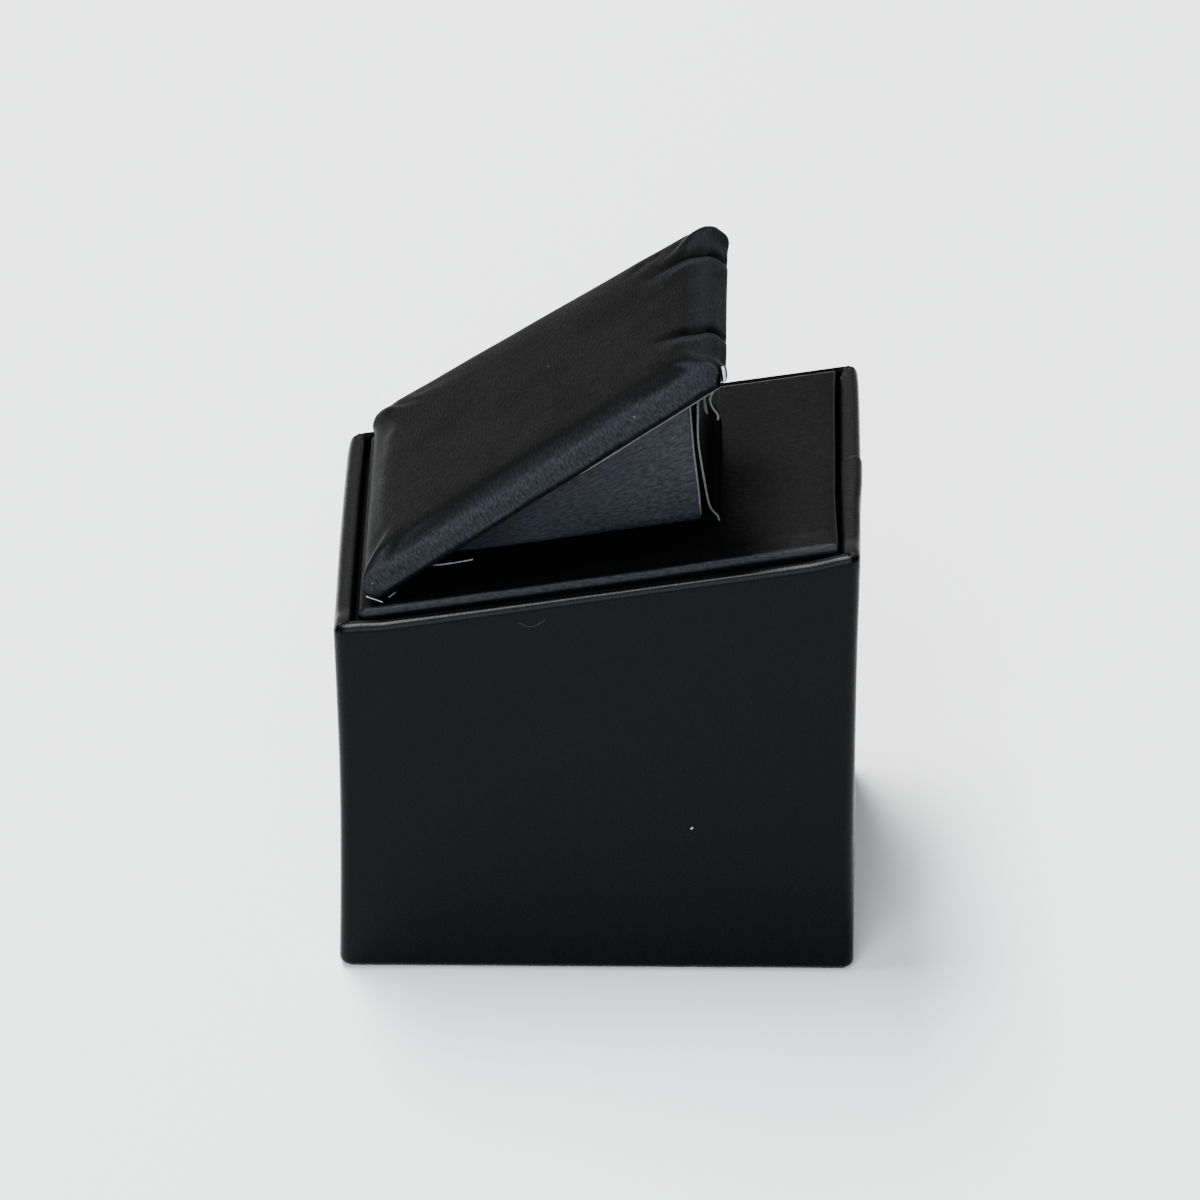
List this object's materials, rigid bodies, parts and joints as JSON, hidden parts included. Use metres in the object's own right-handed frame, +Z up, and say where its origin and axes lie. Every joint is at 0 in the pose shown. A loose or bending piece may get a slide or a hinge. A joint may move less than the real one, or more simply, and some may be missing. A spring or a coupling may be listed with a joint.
{
  "type": "jewelry box",
  "caption": "Leatherette-covered jewelry display box with a sloping raised rim, and a lift-out padded insert that holds a tilted trapezoid display pad on a ramp.",
  "frame": {"origin": "middle of the footprint, on the surface that the box stands on", "axes": "+Z up, +Y towards the high back of the sloping rim, -Y towards the low front, +X to the right seen from the front"},
  "size_m": [0.0498, 0.0636, 0.0821],
  "materials": {
    "leatherette": "satin embossed grain",
    "pad_leatherette": "satin embossed grain",
    "greyboard": "matte",
    "black_card": "matte",
    "paper_tape": "matte",
    "felt": "matte nap",
    "foam": "matte",
    "ramp_wood": "matte"
  },
  "bodies": {
    "box": {"bottom_cover": "black_card", "outer_wrap": "leatherette", "base_board": "greyboard", "front_wall": "greyboard", "back_wall": "greyboard", "left_wall": "greyboard", "right_wall": "greyboard", "corner_stays": "paper_tape", "front_collar": "black_card", "back_collar": "black_card", "left_collar": "black_card", "right_collar": "black_card", "floor_felt": "felt"},
    "insert": {"insert_board": "greyboard", "insert_foam": "foam", "insert_wrap": "leatherette", "insert_backing": "black_card", "ramp_core": "ramp_wood", "ramp_wrap": "leatherette", "ramp_strap": "leatherette", "pad_board": "greyboard", "pad_foam": "foam", "pad_wrap": "pad_leatherette", "pad_backing": "black_card"}
  },
  "joints": [
    {"name": "insert_lift", "type": "slide", "parent": "box", "child": "insert", "axis": [0, 0, 1], "range_m": [0, 0.04]}
  ]
}
